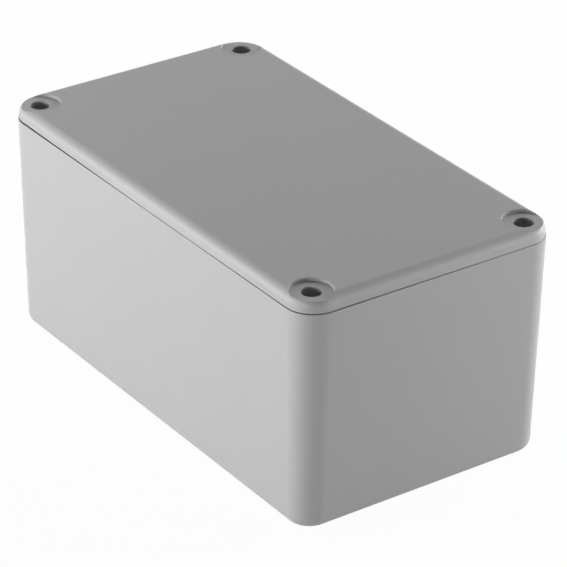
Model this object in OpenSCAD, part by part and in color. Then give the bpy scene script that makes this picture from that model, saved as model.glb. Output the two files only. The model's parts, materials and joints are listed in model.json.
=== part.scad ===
// Die-cast aluminium enclosure: a deep base casting, a shallow lid that drops on
// to its rim, and the gasket in the lid's groove. The four screw holes are empty.
// Millimetres, +Z up. The origin is the centre of the base's underside.

/* [Enclosure] */
// Length, over the rim of the base
box_l = 115; // [90:1:160]
// Width, over the rim of the base
box_w = 65; // [55:1:120]
// Height with the lid on
box_h = 55; // [35:1:90]
// Radius of the four upright corners, at the rim
corner_r = 6.6; // [6:0.2:8]
// Draft of every cast wall, in degrees
draft = 1.25; // [0.5:0.25:1.5]
// Radius of the cast edges on both sides of the seam
seam_edge_r = 0.3; // [0.1:0.05:0.5]

/* [Base casting] */
// Thickness of the side walls
wall = 2.8; // [2.4:0.1:3.4]
// Thickness of the floor
floor_t = 3; // [2:0.25:5]
// Radius of the outer bottom edge
foot_edge_r = 2.6; // [1:0.2:3]
// Radius inside, where the walls meet the floor
floor_fillet_r = 1; // [0.4:0.1:1.2]
// Radius of the corner columns about their screws, at the rim
column_r = 5.2; // [4.8:0.1:5.8]
// Radius that blends each column into the walls, at the rim
column_blend_r = 3.6; // [3:0.1:4.4]

/* [Lid casting] */
// Height of the lid's side, from the seam to the top face
lid_h = 3.4; // [3:0.1:6]
// Thickness of the lid's plate inside its rim
plate_t = 2.4; // [1.6:0.1:2.8]
// Radius of the lid's top edge
lid_edge_r = 2.1; // [1:0.1:2.6]
// How far the lid's side stands back from the rim of the base
lid_setback = 0.2; // [0:0.05:0.4]
// Height of the locating tongue below the seam
tongue_h = 2.5; // [1:0.25:5]
// Thickness of the tongue
tongue_t = 1.6; // [1:0.1:2.2]
// Clearance between the tongue and the walls and columns
tongue_clearance = 0.3; // [0.1:0.05:0.5]
// Height by which the bowed lid stands off the rim at its left end
gap_left = 0.4; // [0.1:0.05:0.6]
// Height by which the bowed lid stands off the rim at its right end
gap_right = 0.15; // [0.05:0.05:0.4]
// Length of the lid's rim that bears on the base
seat_l = 25; // [10:1:60]
// Distance from mid-length to the middle of that seat
seat_x = 8; // [-10:1:15]

/* [Lid screws] */
// Distance from each screw's axis to the two outer faces beside it
screw_inset = 5.4; // [5.2:0.1:6.5]
// Diameter of the clearance holes through the lid
screw_hole_d = 4.4; // [3.6:0.1:5]
// Diameter of the spot faces that take the screw heads
spot_face_d = 9.3; // [7:0.1:9.6]
// Depth of the spot faces
spot_face_h = 0.7; // [0.3:0.1:1.2]
// Core diameter of the M4 threads in the columns
tap_d = 3.3; // [2.5:0.1:4.2]
// Depth of the tapped holes
tap_depth = 18; // [8:1:24]
// Width of the countersink at the mouth of each tapped hole
tap_countersink = 0.5; // [0.2:0.1:0.8]

/* [Gasket] */
// Depth of the gasket's groove in the lid
groove_h = 1.2; // [0.8:0.1:1.8]
// Width of the metal land between the groove and the outside
land_w = 1; // [0.7:0.1:1.4]
// Clearance between the gasket and each side of its groove
gasket_clearance = 0.1; // [0.05:0.05:0.3]

/* [Hidden] */
$fn = 96;
cut = 1;                        // how far a cutter runs past a face
bite = 0.003;                   // overlap where a round meets a wall or another round
lean = tan(draft);              // how far a drafted wall leans per millimetre of height
seam_z = box_h - lid_h;         // height of the base's rim
cavity_h = seam_z - floor_t;    // depth of the space inside the base
inner_x = box_l / 2 - wall;     // inner faces of the walls, at the rim
inner_y = box_w / 2 - wall;
screw_x = box_l / 2 - screw_inset;
screw_y = box_w / 2 - screw_inset;
groove_out = wall - land_w;     // how far the groove reaches out over the walls
tongue_in = tongue_clearance + tongue_t; // inner face of the tongue, in from the walls
paint = [0.66, 0.66, 0.66];
rubber = [0.12, 0.12, 0.12];

// A length to the nearest micron. Arcs and faces placed by it meet edge to edge.
function to_micron(v) = round(v * 1000) / 1000;

// Half section of a drafted wall. It reaches furthest on y = 0, leans in as it
// rises to y = h, and its outer corners have the radii wide_r and narrow_r.
module wall_section(reach, h, wide_r, narrow_r) {
    wide_x = reach - to_micron(wide_r * lean) - wide_r + bite;
    narrow_y = h - narrow_r;
    narrow_x = reach - to_micron(narrow_y * lean) - narrow_r + bite;
    intersection() {
        polygon([[0, 0], [reach, 0], [reach - to_micron(h * lean), h], [0, h]]);
        union() {
            polygon([
                [0, 0],
                [wide_x, 0],
                [wide_x, wide_r],
                [reach, wide_r],
                [reach, narrow_y],
                [narrow_x, narrow_y],
                [narrow_x, h],
                [0, h]
            ]);
            if (wide_r > 0) translate([wide_x, wide_r]) circle(wide_r);
            translate([narrow_x, narrow_y]) circle(narrow_r);
        }
    }
}

// A wall section on both sides of the middle, carried a length along X
module wall_run(length, reach, h, wide_r, narrow_r) {
    rotate([90, 0, 90])
        linear_extrude(length, center = true) {
            wall_section(reach, h, wide_r, narrow_r);
            mirror([1, 0]) wall_section(reach, h, wide_r, narrow_r);
        }
}

// Copies of a feature of the (+X, +Y) corner in all four corners
module in_each_corner() {
    for (x = [0, 1], y = [0, 1])
        mirror([x, 0, 0]) mirror([0, y, 0]) children();
}

// Box with drafted walls and round upright corners, widest on z = 0
module drafted_box(l, w, r, h, wide_r, narrow_r) {
    wall_run(l - 2 * r, w / 2, h, wide_r, narrow_r);
    rotate(90) wall_run(w - 2 * r, l / 2, h, wide_r, narrow_r);
    in_each_corner()
        translate([l / 2 - r, w / 2 - r, 0])
            rotate_extrude(angle = 90) wall_section(r, h, wide_r, narrow_r);
}

// How far a blend's centre lies before its column's, along a wall that is
// inner past the middle, where the column's centre is screw past it
function blend_back(inner, screw) =
    let (step = inner - column_blend_r + bite - screw)
    to_micron(sqrt(pow(column_r + column_blend_r - bite, 2) - step * step));

// Centre of the arc that blends a column into the wall on its +Y side
function blend_y_centre() =
    [screw_x - blend_back(inner_y, screw_y), inner_y - column_blend_r + bite];

// Centre of the arc that blends a column into the wall on its +X side
function blend_x_centre() =
    [inner_x - column_blend_r + bite, screw_y - blend_back(inner_x, screw_x)];

// Area between a blend's centre, the point beside it inside the wall, and the column
module blend_area(centre, to_wall) {
    polygon([
        centre,
        centre + to_wall,
        [screw_x + column_r, screw_y + column_r],
        [screw_x, screw_y]
    ]);
}

module blend_y_area() { blend_area(blend_y_centre(), [0, column_blend_r + wall]); }
module blend_x_area() { blend_area(blend_x_centre(), [column_blend_r + wall, 0]); }

// Outline of the cavity at the rim, stepped in by d from its walls and columns
module cavity_outline(d) {
    difference() {
        square([2 * (inner_x - d), 2 * (inner_y - d)], center = true);
        in_each_corner() {
            translate([screw_x, screw_y]) circle(column_r + d);
            difference() {
                blend_y_area();
                translate(blend_y_centre()) circle(column_blend_r - d);
            }
            difference() {
                blend_x_area();
                translate(blend_x_centre()) circle(column_blend_r - d);
            }
        }
    }
}

// Ring between two such outlines, h high
module cavity_ring(d_outer, d_inner, h) {
    linear_extrude(h)
        difference() {
            cavity_outline(d_outer);
            cavity_outline(d_inner);
        }
}

// Corner column in the cavity: it widens towards the floor and has a fillet at its foot
module column() {
    full_h = cavity_h + cut;
    floor_r = column_r + to_micron(cavity_h * lean);
    foot_r = floor_r - to_micron(floor_fillet_r * lean) + floor_fillet_r - bite;
    rotate_extrude()
        difference() {
            polygon([
                [0, 0],
                [foot_r, 0],
                [foot_r, floor_fillet_r],
                [floor_r - to_micron(floor_fillet_r * lean), floor_fillet_r],
                [floor_r - to_micron(full_h * lean), full_h],
                [0, full_h]
            ]);
            translate([foot_r, floor_fillet_r]) circle(floor_fillet_r);
        }
}

// Part of the cavity that lies within a blend arc
module blend_space() {
    translate([0, 0, cavity_h + cut])
        mirror([0, 0, 1])
            rotate_extrude()
                wall_section(column_blend_r + to_micron(cut * lean), cavity_h + cut, 0, floor_fillet_r);
}

// Drafted space inside the base, from its floor on z = 0 to past its rim
module cavity() {
    full_h = cavity_h + cut;
    difference() {
        translate([0, 0, full_h])
            mirror([0, 0, 1])
                intersection() {
                    wall_run(box_l, inner_y + to_micron(cut * lean), full_h, 0, floor_fillet_r);
                    rotate(90) wall_run(box_w, inner_x + to_micron(cut * lean), full_h, 0, floor_fillet_r);
                }
        in_each_corner() {
            translate([screw_x, screw_y, 0]) column();
            difference() {
                linear_extrude(full_h) blend_y_area();
                translate(blend_y_centre()) blend_space();
            }
            difference() {
                linear_extrude(full_h) blend_x_area();
                translate(blend_x_centre()) blend_space();
            }
        }
    }
}

// Blind hole for a screw's thread, with its countersunk mouth on z = 0
module tapped_hole() {
    translate([0, 0, -tap_depth]) cylinder(d = tap_d, h = tap_depth + cut);
    translate([0, 0, -tap_countersink])
        cylinder(r1 = tap_d / 2, r2 = tap_d / 2 + tap_countersink + cut, h = tap_countersink + cut);
}

// Clearance hole and spot face for a screw through the lid, whose seam is on z = 0
module screw_hole() {
    translate([0, 0, -cut]) cylinder(d = screw_hole_d, h = lid_h + 2 * cut);
    translate([0, 0, lid_h - spot_face_h]) cylinder(d = spot_face_d, h = spot_face_h + cut);
}

// Slivers below the bowed lid, which leave it bearing on the rim along its seat
module bow_gaps() {
    end_x = box_l / 2;
    rotate([90, 0, 0])
        linear_extrude(box_w, center = true)
            polygon([
                [-end_x, -cut],
                [-end_x, gap_left],
                [seat_x - seat_l / 2, 0],
                [seat_x + seat_l / 2, 0],
                [end_x, gap_right],
                [end_x, -cut]
            ]);
}

module base() {
    color(paint)
        difference() {
            translate([0, 0, seam_z])
                mirror([0, 0, 1])
                    drafted_box(box_l, box_w, corner_r, seam_z, seam_edge_r, foot_edge_r);
            translate([0, 0, floor_t]) cavity();
            in_each_corner() translate([screw_x, screw_y, seam_z]) tapped_hole();
        }
}

// Places a piece of the lid, drawn from its seam face, on the base
module on_seam() {
    translate([0, 0, seam_z]) children();
}

module lid() {
    color(paint)
        difference() {
            union() {
                difference() {
                    on_seam()
                        drafted_box(box_l - 2 * lid_setback, box_w - 2 * lid_setback,
                                    corner_r - lid_setback, lid_h, seam_edge_r, lid_edge_r);
                    on_seam() bow_gaps();
                }
                // Tongue that drops inside the wall, solid up to the underside of the plate
                on_seam()
                    translate([0, 0, -tongue_h])
                        linear_extrude(tongue_h + lid_h - plate_t)
                            cavity_outline(tongue_clearance);
            }
            // Groove between the land and the tongue, for the gasket
            on_seam()
                translate([0, 0, -cut])
                    cavity_ring(-groove_out, tongue_clearance, groove_h + cut);
            on_seam()
                translate([0, 0, -tongue_h - cut])
                    linear_extrude(cut + tongue_h + lid_h - plate_t) cavity_outline(tongue_in);
            on_seam()
                in_each_corner()
                    translate([screw_x, screw_y, 0]) screw_hole();
        }
}

module gasket() {
    color(rubber)
        translate([0, 0, seam_z])
            cavity_ring(gasket_clearance - groove_out, tongue_clearance - gasket_clearance, groove_h);
}

base();
lid();
gasket();
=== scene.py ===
"""Looks of a die-cast aluminium enclosure: base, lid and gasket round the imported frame.

Every piece is worked out in metres in the part's own frame: the origin is the centre of
the underside, +X runs along the long side, +Z is up and the lid's seam is level.
"""

import json
import logging
import math
from dataclasses import dataclass, field
from enum import Enum
from typing import Mapping, Sequence, Union

import bpy
import numpy as np
from mathutils import Matrix, Vector


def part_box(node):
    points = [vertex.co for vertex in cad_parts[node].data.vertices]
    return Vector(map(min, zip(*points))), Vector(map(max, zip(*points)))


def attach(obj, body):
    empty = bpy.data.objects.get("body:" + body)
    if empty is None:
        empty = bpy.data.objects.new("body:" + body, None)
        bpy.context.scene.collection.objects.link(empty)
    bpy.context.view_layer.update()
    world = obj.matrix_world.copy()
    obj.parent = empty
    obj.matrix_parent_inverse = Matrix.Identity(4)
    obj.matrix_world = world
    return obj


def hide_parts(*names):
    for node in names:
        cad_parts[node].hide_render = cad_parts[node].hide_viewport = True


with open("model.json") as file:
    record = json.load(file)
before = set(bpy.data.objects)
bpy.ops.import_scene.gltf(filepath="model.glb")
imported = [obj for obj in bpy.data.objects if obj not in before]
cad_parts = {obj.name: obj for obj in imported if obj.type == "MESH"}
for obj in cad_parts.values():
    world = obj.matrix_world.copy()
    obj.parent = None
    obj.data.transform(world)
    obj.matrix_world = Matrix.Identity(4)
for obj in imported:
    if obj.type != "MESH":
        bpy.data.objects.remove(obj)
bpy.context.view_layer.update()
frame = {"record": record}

MM = 0.001
log = logging.getLogger("enclosure")

Value = Union["Wire", float, Sequence[float]]


class Wire:
    """A node's output, on which Python arithmetic adds Math nodes."""

    def __init__(self, bench: "Bench", socket: bpy.types.NodeSocket) -> None:
        """Keeps the socket and the bench whose tree it belongs to."""
        self.bench = bench
        self.socket = socket

    def math(self, operation: str, *values: Value) -> "Wire":
        """Adds one Math node.

        Args:
            operation: The Math node's operation.
            values: Its inputs in order.

        Returns:
            The node's output.
        """
        return self.bench.node("ShaderNodeMath", {"operation": operation},
                               dict(enumerate(values)))

    def __add__(self, other: Value) -> "Wire":
        """This wire plus a wire or number."""
        return self.math("ADD", self, other)

    def __rsub__(self, other: Value) -> "Wire":
        """A number minus this wire."""
        return self.math("SUBTRACT", other, self)

    def __mul__(self, other: Value) -> "Wire":
        """This wire times a wire or number."""
        return self.math("MULTIPLY", self, other)

    __radd__ = __add__
    __rmul__ = __mul__

    def most(self, other: Value) -> "Wire":
        """The larger of this wire and another."""
        return self.math("MAXIMUM", self, other)


class Bench:
    """The node tree of one material or world."""

    def __init__(self, owner: Union[bpy.types.Material, bpy.types.World]) -> None:
        """Empties the owner's node tree, ready for new nodes."""
        owner.use_nodes = True
        self.tree = owner.node_tree
        self.tree.nodes.clear()

    def node(self, kind: str, settings: Mapping[str, object],
             inputs: Mapping[Union[str, int], Value], output: Union[str, int] = 0) -> Wire:
        """Adds any node.

        Args:
            kind: The node's type.
            settings: Properties, which are set before the inputs.
            inputs: A value or a wire for each input, by name or number.
            output: The output that is wanted.

        Returns:
            That output.
        """
        made = self.tree.nodes.new(kind)
        for name, value in settings.items():
            setattr(made, name, value)
        for name, value in inputs.items():
            if isinstance(value, Wire):
                self.tree.links.new(value.socket, made.inputs[name])
            else:
                made.inputs[name].default_value = value
        return Wire(self, made.outputs[output] if len(made.outputs) else None)

    def place(self) -> Wire:
        """The point on the piece, in metres in the part's frame."""
        return self.node("ShaderNodeTexCoord", {}, {}, "Object")

    def noise(self, size: float, detail: float = 2.0, roughness: float = 0.5) -> Wire:
        """Soft cloudy noise.

        Args:
            size: How far apart its lumps are, in metres.
            detail: How many finer layers it has.
            roughness: How strong those layers are.

        Returns:
            A value about 0.5.
        """
        return self.node("ShaderNodeTexNoise", {"noise_dimensions": "3D"},
                         {"Vector": self.place(), "Scale": 1.0 / size,
                          "Detail": detail, "Roughness": roughness})

    def bump(self, height: Wire, depth: float) -> Wire:
        """Turns a height about 0..1 into a normal, where 1 stands depth metres high."""
        return self.node("ShaderNodeBump", {},
                         {"Strength": 1.0, "Distance": depth, "Height": height}, "Normal")


@dataclass(frozen=True)
class PowderCoat:
    """Grey semi-matt powder coat with a faint orange peel."""

    name: str = "grey_powder_coat"
    grey: float = 0.39
    mottle: float = 0.03
    mottle_size: float = 14 * MM
    peel_size: float = 0.75 * MM
    peel_depth: float = 0.02 * MM
    grain_size: float = 0.22 * MM
    grain_share: float = 0.35
    roughness: float = 0.5
    roughness_spread: float = 0.12

    def material(self) -> bpy.types.Material:
        """Builds the finish.

        The grey drifts by a few hundredths over wide clouds. The height is the sum of
        the peel's lumps and a finer grain, and the hollows are a little rougher.

        Returns:
            The material.
        """
        made = bpy.data.materials.new(self.name)
        bench = Bench(made)
        cloud = bench.noise(self.mottle_size, 3.0)
        smoothest = self.roughness - 0.5 * self.roughness_spread
        dark, light = (self.grey * (1.0 + side * self.mottle / 2) for side in (-1, 1))
        peel = bench.noise(self.peel_size, 1.0)
        grain = bench.noise(self.grain_size, 2.0)
        height = peel + grain * self.grain_share
        colour = bench.node("ShaderNodeMix", {"data_type": "RGBA"},
                            {0: cloud, 6: (dark, dark, dark, 1.0), 7: (light, light, light, 1.0)}, 2)
        surface = bench.node("ShaderNodeBsdfPrincipled", {}, {
            "Base Color": colour,
            "Roughness": (1.0 - peel) * self.roughness_spread + smoothest,
            "Normal": bench.bump(height, self.peel_depth),
            "IOR": 1.5,
        })
        bench.node("ShaderNodeOutputMaterial", {}, {"Surface": surface})
        return made


@dataclass(frozen=True)
class BareCasting:
    """Bare machined aluminium, in the tapped holes."""

    name: str = "tapped_aluminium"
    grey: float = 0.55
    roughness: float = 0.38
    roughness_spread: float = 0.2
    swirl_size: float = 0.3 * MM

    def material(self) -> bpy.types.Material:
        """Builds the finish: metal whose roughness drifts over fine clouds."""
        made = bpy.data.materials.new(self.name)
        bench = Bench(made)
        cloud = bench.noise(self.swirl_size)
        smoothest = self.roughness - 0.5 * self.roughness_spread
        surface = bench.node("ShaderNodeBsdfPrincipled", {}, {
            "Base Color": (self.grey, self.grey, self.grey * 1.01, 1.0),
            "Metallic": 1.0,
            "Roughness": cloud * self.roughness_spread + smoothest,
        })
        bench.node("ShaderNodeOutputMaterial", {}, {"Surface": surface})
        return made


@dataclass(frozen=True)
class MouldedRubber:
    """Black moulded rubber with a dull skin."""

    name: str = "gasket_rubber"
    grey: float = 0.022
    roughness: float = 0.68
    roughness_spread: float = 0.15
    skin_size: float = 0.35 * MM
    skin_depth: float = 0.012 * MM

    def material(self) -> bpy.types.Material:
        """Builds the finish: a dark base under a fine matt grain."""
        made = bpy.data.materials.new(self.name)
        bench = Bench(made)
        skin = bench.noise(self.skin_size, 3.0, 0.6)
        smoothest = self.roughness - 0.5 * self.roughness_spread
        surface = bench.node("ShaderNodeBsdfPrincipled", {}, {
            "Base Color": (self.grey, self.grey, self.grey * 1.05, 1.0),
            "Roughness": skin * self.roughness_spread + smoothest,
            "Normal": bench.bump(skin, self.skin_depth),
        })
        bench.node("ShaderNodeOutputMaterial", {}, {"Surface": surface})
        return made


@dataclass
class Outline:
    """Closed level outline: stations with a point and an outward direction each.

    Stepping the outline in by d moves each point against its direction by d, which
    keeps arcs round and lines straight.
    """

    points: np.ndarray
    outward: np.ndarray

    def ring(self, inset: float, z: Union[float, np.ndarray]) -> np.ndarray:
        """The outline stepped in, at a height.

        Args:
            inset: How far it is stepped in.
            z: Its height, one for all stations or one for each.

        Returns:
            One row of x, y and z for each station.
        """
        flat = self.points - inset * self.outward
        return np.column_stack([flat, np.broadcast_to(z, len(flat))])

    @staticmethod
    def round_four(points: np.ndarray, outward: np.ndarray, line_steps: int) -> "Outline":
        """Carries the stations of the (+X, +Y) corner round all four corners.

        The other corners are mirror images, so every second one is walked backwards,
        and straight lines of line_steps steps join them.

        Args:
            points: The corner's points, anticlockwise.
            outward: Their outward directions.
            line_steps: Steps along each straight line.

        Returns:
            The closed outline.
        """
        signs = np.array([[1, 1], [-1, 1], [-1, -1], [1, -1]])
        ways = (slice(None), slice(None, None, -1)) * 2
        corners = [np.hstack([points * sign, outward * sign])[way]
                   for sign, way in zip(signs, ways)]
        along = np.linspace(0.0, 1.0, line_steps + 1)[1:-1, None]
        runs = [np.vstack([corner, corner[-1] * (1 - along) + following[0] * along])
                for corner, following in zip(corners, corners[1:] + corners[:1])]
        stations = np.vstack(runs)
        return Outline(stations[:, :2], stations[:, 2:])


def arc(centre: Sequence[float], radius: float, start: float, end: float,
        steps: int, sense: int = 1) -> np.ndarray:
    """Stations of an arc: centre + radius (cos t, sin t), with t from start to end.

    Args:
        centre: The arc's centre.
        radius: Its radius.
        start: Its first angle, in radians.
        end: Its last angle.
        steps: How many steps it has.
        sense: 1 where outward is away from the centre, -1 where it is towards it.

    Returns:
        One row of x, y and the outward direction's x and y for each station.
    """
    t = np.linspace(start, end, steps + 1)
    u = np.column_stack([np.cos(t), np.sin(t)])
    return np.hstack([np.asarray(centre) + radius * u, sense * u])


def rounded_path(corners: Sequence[Sequence[float]], steps: int = 6) -> np.ndarray:
    """A profile whose corners are rounded.

    At a corner of radius r that turns by the angle a, the arc starts r tan(a/2) before
    the corner. A point a little before and after each arc keeps the flats flat.

    Args:
        corners: Inset, height and radius of each corner. The first and last are ends.
        steps: Steps of each arc.

    Returns:
        One row of inset and height for each point.
    """
    path = np.asarray(corners, float)
    parts = [path[:1, :2]]
    for before, corner, after in zip(path[:-2], path[1:-1], path[2:]):
        spot, radius = corner[:2], corner[2]
        back, onward = before[:2] - spot, after[:2] - spot
        room = 0.45 * min(np.linalg.norm(back), np.linalg.norm(onward))
        back, onward = back / np.linalg.norm(back), onward / np.linalg.norm(onward)
        half = 0.5 * math.acos(float(np.clip(back @ onward, -1.0, 1.0)))
        if radius == 0.0:
            parts.append(spot[None])
            continue
        reach = radius / math.tan(half)
        hold = min(reach + 0.35 * radius, max(room, reach * 1.02))
        centre = spot + (back + onward) / np.linalg.norm(back + onward) * radius / math.sin(half)
        first, last = spot + back * reach - centre, spot + onward * reach - centre
        turn = math.pi - 2 * half
        t = np.linspace(0.0, 1.0, steps + 1)[:, None]
        bend = (np.sin((1 - t) * turn) * first + np.sin(t * turn) * last) / math.sin(turn)
        parts.append(np.vstack([spot + back * hold, centre + bend, spot + onward * hold]))
    parts.append(path[-1:, :2])
    return np.vstack(parts)


@dataclass
class Shell:
    """Closed skin through a stack of rings that have the same number of points."""

    rings: list[np.ndarray] = field(default_factory=list)

    def carry(self, outline: Outline, profile: np.ndarray,
              lift: Union[float, np.ndarray] = 0.0) -> None:
        """Adds one ring for each point of a profile.

        Args:
            outline: The outline that the profile is carried round.
            profile: Inset and height of each ring.
            lift: Height added to each station.
        """
        self.rings += [outline.ring(inset, z + lift) for inset, z in profile]

    def mesh(self, name: str) -> bpy.types.Mesh:
        """Skins the rings with quads and closes both ends with a flat face.

        Args:
            name: The mesh's name.

        Returns:
            The mesh, shaded smooth.
        """
        count = len(self.rings[0])
        step = np.arange(count)
        following = np.roll(step, -1)
        lower = np.arange(len(self.rings) - 1)[:, None] * count
        quads = np.stack([lower + step, lower + following,
                          lower + count + following, lower + count + step], axis=-1)
        last = (len(self.rings) - 1) * count
        faces = quads.reshape(-1, 4).tolist()
        faces += [step[::-1].tolist(), (last + step).tolist()]
        made = bpy.data.meshes.new(name)
        made.from_pydata(np.vstack(self.rings).tolist(), [], faces)
        made.shade_smooth()
        return made


def lathe(axis: Sequence[float], profile: np.ndarray, steps: int = 96) -> Shell:
    """Turns a profile about an upright axis.

    Args:
        axis: The axis's x and y.
        profile: Radius and height of each ring, from the bottom up.
        steps: Points in a ring.

    Returns:
        The closed shell.
    """
    t = np.arange(steps) * 2 * math.pi / steps
    u = np.column_stack([np.cos(t), np.sin(t)])
    circle = Outline(np.asarray(axis) + 0 * u, -u)
    shell = Shell()
    shell.carry(circle, profile)
    return shell


def show(mesh: bpy.types.Mesh) -> bpy.types.Object:
    """Puts a mesh into the scene, at the origin and unturned."""
    made = bpy.data.objects.new(mesh.name, mesh)
    bpy.context.scene.collection.objects.link(made)
    return made


def cut_from(piece: bpy.types.Object, cutters: Sequence[Shell]) -> None:
    """Cuts closed shells out of a piece and puts the result in its mesh.

    Args:
        piece: The piece, which keeps its name and place.
        cutters: The shells to take away.
    """
    tools = [show(shell.mesh("cutter")) for shell in cutters]
    for tool in tools:
        step = piece.modifiers.new("cut", "BOOLEAN")
        step.operation = "DIFFERENCE"
        step.solver = "EXACT"
        step.object = tool
    depsgraph = bpy.context.evaluated_depsgraph_get()
    worn = piece.data
    piece.data = bpy.data.meshes.new_from_object(piece.evaluated_get(depsgraph))
    piece.modifiers.clear()
    piece.data.name = worn.name
    for tool in tools:
        bpy.data.meshes.remove(tool.data)
    bpy.data.meshes.remove(worn)


@dataclass
class Body:
    """Sizes that the castings and the gasket share, in metres."""

    length: float
    width: float
    height: float
    seam: float
    screws: np.ndarray
    wall: float = 2.8 * MM
    corner: float = 6.6 * MM
    lean: float = math.tan(math.radians(1.25))
    column: float = 5.2 * MM
    blend: float = 3.6 * MM
    arc_steps: int = 10
    line_steps: int = 40

    def outside(self, setback: float = 0.0) -> Outline:
        """Outline of the rim, stepped in by setback: four quarter circles and lines."""
        radius = self.corner - setback
        centre = np.array([self.length, self.width]) / 2 - self.corner
        corner = arc(centre, radius, 0.0, math.pi / 2, 3 * self.arc_steps)
        return Outline.round_four(corner[:, :2], corner[:, 2:], self.line_steps)

    def inside(self) -> Outline:
        """Outline of the cavity at the rim.

        In each corner an arc that touches the wall leads into the column's circle, and
        another leads out of it. The arcs' centres lie a column's and a blend's radius
        from the column's own.

        Returns:
            The outline, whose outward side is the metal.
        """
        screw = self.screws
        inner = np.array([self.length, self.width]) / 2 - self.wall
        off = inner - self.blend - screw
        back = np.sqrt((self.column + self.blend) ** 2 - off ** 2)
        by_x = np.array([screw[0] + off[0], screw[1] - back[0]])
        by_y = np.array([screw[0] - back[1], screw[1] + off[1]])
        rise = math.atan2(*(screw - by_x)[::-1])
        run = math.atan2(*(screw - by_y)[::-1])
        first = arc(by_x, self.blend, 0.0, rise, self.arc_steps)
        middle = arc(screw, self.column, rise + math.pi, run + math.pi, self.arc_steps, -1)
        last = arc(by_y, self.blend, run, math.pi / 2, self.arc_steps)
        corner = np.vstack([first, middle[1:], last[1:]])
        return Outline.round_four(corner[:, :2], corner[:, 2:], self.line_steps)

    def corners(self) -> np.ndarray:
        """The four screw axes."""
        return self.screws * np.array([[1, 1], [-1, 1], [-1, -1], [1, -1]])


@dataclass
class Base:
    """The deep base casting with its four tapped columns."""

    body: Body
    floor: float = 3.0 * MM
    foot: float = 2.6 * MM
    foot_inside: float = 1.0 * MM
    edge: float = 0.06 * MM
    tap_core: float = 1.65 * MM
    tap_crest: float = 0.33 * MM
    tap_pitch: float = 0.7 * MM
    tap_depth: float = 18 * MM
    tap_mouth: float = 0.5 * MM

    def shell(self) -> Shell:
        """Underside, foot, drafted walls, rim, cavity and floor, in that order."""
        body = self.body
        toe = body.seam * body.lean
        deep = (body.seam - self.floor) * body.lean
        middle = self.foot + 2 * MM
        made = Shell()
        made.carry(body.outside(), rounded_path([
            (middle, 0.0, 0.0),
            (toe, 0.0, self.foot),
            (0.0, body.seam, self.edge),
            (body.wall * 0.3, body.seam, 0.0),
        ], 12))
        made.carry(body.inside(), rounded_path([
            (-body.wall * 0.3, body.seam, 0.0),
            (0.0, body.seam, self.edge),
            (deep, self.floor, self.foot_inside),
            (deep + 2 * self.foot_inside, self.floor, 0.0),
        ]))
        return made

    def tap(self, axis: Sequence[float]) -> Shell:
        """Cutter of one tapped hole.

        Its radius is the core's plus a ridge that climbs one pitch a turn: the ridge is
        a triangle wave of the height in pitches less the turn. It fades into the cone
        of the countersink at the mouth and into the plain bottom.

        Args:
            axis: The hole's x and y.

        Returns:
            The cutter.
        """
        steps, rows_a_pitch = 48, 8
        low, high = self.body.seam - self.tap_depth, self.body.seam
        rows = int(self.tap_depth / self.tap_pitch * rows_a_pitch)
        z = np.linspace(low, high, rows + 1)[:, None]
        t = np.arange(steps)[None] * 2 * math.pi / steps
        wave = np.abs(((z / self.tap_pitch - t / (2 * math.pi)) % 1.0) * 2 - 1)
        ease = np.clip((z - low) / self.tap_pitch - 1, 0, 1)
        radius = self.tap_core + self.tap_crest * wave * ease
        radius = np.maximum(radius, self.tap_core + self.tap_mouth - (high - z))
        radius = np.vstack([radius, radius[-1:] + MM])
        z = np.vstack([z, [[high + MM]]]) + 0 * radius
        x, y = axis[0] + radius * np.cos(t), axis[1] + radius * np.sin(t)
        return Shell(list(np.stack([x, y, z], axis=-1)))

    def build(self, coat: bpy.types.Material, bare: bpy.types.Material) -> bpy.types.Object:
        """Makes the casting.

        Args:
            coat: The paint.
            bare: The finish of the tapped holes.

        Returns:
            The finished piece.
        """
        piece = show(self.shell().mesh("base_casting"))
        cut_from(piece, [self.tap(axis) for axis in self.body.corners()])
        piece.data.materials.append(coat)
        piece.data.materials.append(bare)
        middles = np.empty(len(piece.data.polygons) * 3)
        piece.data.polygons.foreach_get("center", middles)
        middles = middles.reshape(-1, 3)
        apart = np.linalg.norm(np.abs(middles[:, :2]) - self.body.screws, axis=1)
        tapped = apart < self.tap_core + self.tap_crest
        tapped &= middles[:, 2] < self.body.seam - self.tap_mouth
        tapped &= middles[:, 2] > self.floor + MM
        piece.data.polygons.foreach_set("material_index", tapped.astype(np.int32))
        piece.data.set_sharp_from_angle(angle=math.radians(32))
        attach(piece, "base")
        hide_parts("base")
        return piece


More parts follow.
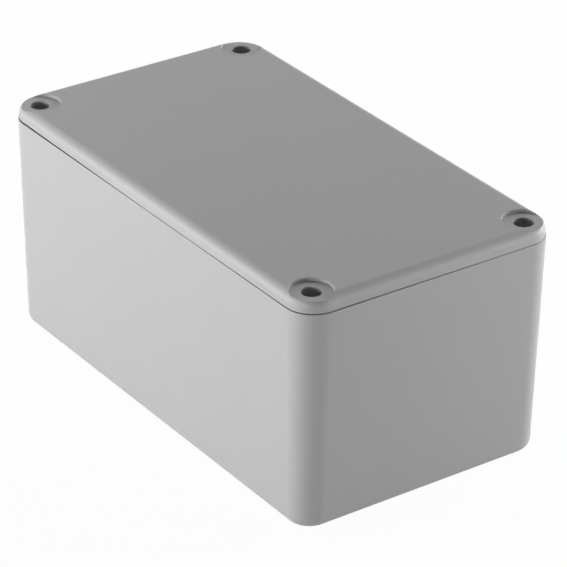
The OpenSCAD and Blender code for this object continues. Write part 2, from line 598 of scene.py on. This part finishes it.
@dataclass
class Lid:
    """The shallow lid casting: plate, skirt, locating tongue and screw holes."""

    body: Body
    hole: float
    setback: float = 0.2 * MM
    plate: float = 2.4 * MM
    top_edge: float = 2.1 * MM
    edge: float = 0.06 * MM
    tongue_height: float = 2.5 * MM
    tongue: float = 1.6 * MM
    clearance: float = 0.3 * MM
    groove: float = 1.2 * MM
    land: float = 1.0 * MM
    spot_face: float = 4.65 * MM
    spot_depth: float = 0.7 * MM
    soft: float = 0.08 * MM
    gap_left: float = 0.4 * MM
    gap_right: float = 0.15 * MM
    seat: tuple[float, float] = (-4.5 * MM, 20.5 * MM)

    def gap(self, outline: Outline) -> np.ndarray:
        """How far the bowed lid stands off the rim at each station.

        It is nothing along the seat and grows in proportion to the distance from it,
        to gap_left and gap_right at the two ends. Across the right end it dies away
        from the front to the back.

        Args:
            outline: The outline whose stations are wanted.

        Returns:
            The height at each station.
        """
        x, y = outline.points.T
        half = self.body.length / 2
        left = np.clip((self.seat[0] - x) / (self.seat[0] + half), 0, 1) * self.gap_left
        right = np.clip((x - self.seat[1]) / (half - self.seat[1]), 0, 1) * self.gap_right
        front = np.clip(0.5 - y / self.body.width * 1.6, 0, 1)
        return left + right * front

    def shell(self) -> Shell:
        """Underside, tongue, groove, land, skirt and top, in that order."""
        body = self.body
        z = body.seam
        roof = body.height - self.plate
        foot = z - self.tongue_height
        out = -(body.wall - self.land)
        inner = self.clearance + self.tongue
        made = Shell()
        made.carry(body.inside(), rounded_path([
            (inner + 3 * MM, roof, 0.0),
            (inner, roof, 0.5 * MM),
            (inner, foot, self.edge),
            (self.clearance, foot, self.edge),
            (self.clearance, z + self.groove, 0.1 * MM),
            (out, z + self.groove, 0.1 * MM),
            (out, z + 0.3 * MM, 0.0),
        ], 4))
        made.carry(body.inside(), np.array([(out, z)]), self.gap(body.inside()))
        outside = body.outside(self.setback)
        lift = self.gap(outside)
        top = body.height
        slope = (top - z) * body.lean
        made.carry(outside, rounded_path([
            (0.3 * MM, z, 0.0), (0.0, z, self.edge), (0.03 * slope, z + 0.9 * MM, 0.0),
        ], 4), lift)
        made.carry(outside, rounded_path([
            (0.4 * slope, z + 1.0 * MM, 0.0),
            (slope, top, self.top_edge),
            (self.top_edge + 2 * MM, top, 0.0),
        ], 14))
        return made

    def drill(self, axis: Sequence[float]) -> Shell:
        """Cutter of one clearance hole with its shallow spot face and soft edges."""
        level = self.body.height - self.spot_depth
        return lathe(axis, rounded_path([
            (self.hole, self.body.seam - 2 * MM, 0.0),
            (self.hole, level, self.soft),
            (self.spot_face, level, 0.15 * MM),
            (self.spot_face, self.body.height, self.soft),
            (self.spot_face + 0.6 * MM, self.body.height, 0.0),
            (self.spot_face + 0.6 * MM, self.body.height + MM, 0.0),
        ], 5))

    def build(self, coat: bpy.types.Material) -> bpy.types.Object:
        """Makes the casting in its paint."""
        piece = show(self.shell().mesh("lid_casting"))
        cut_from(piece, [self.drill(axis) for axis in self.body.corners()])
        piece.data.materials.append(coat)
        piece.data.set_sharp_from_angle(angle=math.radians(32))
        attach(piece, "lid")
        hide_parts("lid")
        return piece


@dataclass
class Gasket:
    """The moulded gasket in the lid's groove."""

    lid: Lid
    play: float = 0.1 * MM
    round_edge: float = 0.3 * MM

    def build(self, rubber: bpy.types.Material) -> bpy.types.Object:
        """Makes the gasket: a rounded oblong carried round the cavity's outline.

        Args:
            rubber: Its finish.

        Returns:
            The finished piece.
        """
        body = self.lid.body
        out = self.lid.land - body.wall + self.play
        inner = self.lid.clearance - self.play
        low, high = body.seam + 0.02 * MM, body.seam + self.lid.groove - 0.02 * MM
        middle = (out + inner) / 2
        path = rounded_path([
            (middle, high, 0.0), (inner, high, self.round_edge), (inner, low, self.round_edge),
            (out, low, self.round_edge), (out, high, self.round_edge), (middle, high, 0.0),
        ], 4)
        outline = body.inside()
        rings = np.stack([outline.ring(inset, z) for inset, z in path[:-1]])
        count, around = rings.shape[:2]
        k, i = np.meshgrid(np.arange(count), np.arange(around), indexing="ij")
        k_next, i_next = (k + 1) % count, (i + 1) % around
        quads = np.stack([k * around + i, k * around + i_next,
                          k_next * around + i_next, k_next * around + i], axis=-1)
        mesh = bpy.data.meshes.new("gasket_ring")
        mesh.from_pydata(rings.reshape(-1, 3).tolist(), [], quads.reshape(-1, 4).tolist())
        mesh.shade_smooth()
        mesh.materials.append(rubber)
        piece = show(mesh)
        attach(piece, "lid")
        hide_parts("gasket")
        return piece


class Softbox(Enum):
    """A square softbox: angle round from +X, angle up, distance, size and watts.

    Angles are in degrees and lengths in metres.
    """

    FRONT = (-75, -5, 0.7, 0.5, 5.6)
    FRONT_LEFT = (-120, 0, 0.45, 0.32, 2.6)
    LEFT = (180, 25, 0.7, 0.5, 1.2)
    BACK_LEFT = (145, 50, 0.8, 0.57, 0.9)
    BACK = (90, 15, 0.8, 0.57, 4.5)
    BACK_RIGHT = (75, 0, 0.6, 0.43, 1.5)
    RIGHT = (50, -3, 0.4, 0.29, 1.6)


@dataclass
class Studio:
    """Floor, soft light and the camera."""

    azimuth: float = 54.66
    elevation: float = 28.49
    roll: float = 0.73
    distance: float = 0.6803
    target: tuple[float, float, float] = (0.0307, -0.0188, 0.0440)
    lens: float = 208.3
    sensor: float = 36.0
    middle: tuple[float, float, float] = (0.0, 0.0, 0.03)
    floor_size: float = 12.0
    floor_glow: float = 0.97

    def light(self) -> None:
        """Adds the softboxes and the white surround."""
        for box in Softbox:
            turn, rise, distance, size, watts = box.value
            turn, rise = math.radians(turn), math.radians(rise)
            data = bpy.data.lights.new("softbox_" + box.name.lower(), "AREA")
            data.shape = "SQUARE"
            data.size = size
            data.energy = watts
            lamp = bpy.data.objects.new(data.name, data)
            level = math.cos(rise)
            away = Vector((math.cos(turn) * level, math.sin(turn) * level, math.sin(rise)))
            lamp.location = Vector(self.middle) + away * distance
            lamp.rotation_euler = away.to_track_quat("Z", "Y").to_euler()
            bpy.context.scene.collection.objects.link(lamp)
        world = bpy.data.worlds.new("studio")
        bpy.context.scene.world = world
        bench = Bench(world)
        seen = self.seen(bench)
        glow = bench.node("ShaderNodeBackground", {}, {
            "Color": (1.0, 1.0, 1.0, 1.0),
            "Strength": seen,
        })
        bench.node("ShaderNodeOutputWorld", {}, {"Surface": glow})

    def seen(self, bench: Bench) -> Wire:
        """1 for what the eye, a gloss or a clear piece looks at, otherwise 0."""
        camera, glossy, clear = (
            bench.node("ShaderNodeLightPath", {}, {}, name)
            for name in ("Is Camera Ray", "Is Glossy Ray", "Is Transmission Ray"))
        return camera.most(glossy).most(clear)

    def lay_floor(self) -> None:
        """Lays a pale floor, which looks almost white from the camera."""
        half = self.floor_size / 2
        mesh = bpy.data.meshes.new("studio_floor")
        mesh.from_pydata([(-half, -half, 0), (half, -half, 0), (half, half, 0), (-half, half, 0)],
                         [], [(0, 1, 2, 3)])
        material = bpy.data.materials.new("pale_floor")
        bench = Bench(material)
        matt = bench.node("ShaderNodeBsdfDiffuse", {}, {"Color": (0.8, 0.8, 0.8, 1.0)})
        glow = bench.node("ShaderNodeEmission", {}, {"Color": (1.0, 1.0, 1.0, 1.0), "Strength": 1.0})
        both = bench.node("ShaderNodeMixShader", {}, {
            0: self.seen(bench) * self.floor_glow, 1: matt, 2: glow})
        bench.node("ShaderNodeOutputMaterial", {}, {"Surface": both})
        mesh.materials.append(material)
        show(mesh)

    def set_camera(self) -> None:
        """Places the camera on its sphere about the target, turned by the roll."""
        turn, tilt, roll = (math.radians(a) for a in (self.azimuth, self.elevation, self.roll))
        back = Vector((math.sin(turn) * math.cos(tilt), -math.cos(turn) * math.cos(tilt), math.sin(tilt)))
        right = Vector((0, 0, 1)).cross(back).normalized()
        up = back.cross(right)
        rolled_right = math.cos(roll) * right + math.sin(roll) * up
        rolled_up = math.cos(roll) * up - math.sin(roll) * right
        data = bpy.data.cameras.new("camera")
        data.sensor_width = self.sensor
        data.lens = self.lens
        data.clip_start = 0.01
        camera = bpy.data.objects.new("camera", data)
        pose = Matrix((rolled_right, rolled_up, back)).transposed().to_4x4()
        pose.translation = Vector(self.target) + back * self.distance
        camera.matrix_world = pose
        bpy.context.scene.collection.objects.link(camera)
        bpy.context.scene.camera = camera

    def build(self) -> None:
        """Sets up the whole studio."""
        self.lay_floor()
        self.light()
        self.set_camera()
        bpy.context.scene.view_settings.view_transform = "Standard"


def shared_sizes() -> tuple[Body, float]:
    """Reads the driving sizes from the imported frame.

    Returns:
        The sizes that the pieces share, and the radius of the lid's screw holes.
    """
    low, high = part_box("base")
    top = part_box("lid")[1].z
    holes = next(m for m in frame["record"]["mounts"] if m["name"] == "lid_holes")["dims"]
    screws = np.array([holes["spacing_x_mm"], holes["spacing_y_mm"]]) * MM / 2
    body = Body(high.x - low.x, high.y - low.y, top, high.z, screws)
    return body, holes["hole_r_mm"] * MM


def main() -> None:
    """Builds the studio and the three pieces, and reports each of them."""
    logging.basicConfig(level=logging.INFO, format="%(name)s: %(message)s")
    Studio().build()
    body, hole = shared_sizes()
    coat = PowderCoat().material()
    lid = Lid(body, hole)
    pieces = (
        Base(body).build(coat, BareCasting().material()),
        lid.build(coat),
        Gasket(lid).build(MouldedRubber().material()),
    )
    for piece in pieces:
        log.info("%s has %d faces", piece.name, len(piece.data.polygons))


if __name__ == "__main__":
    main()
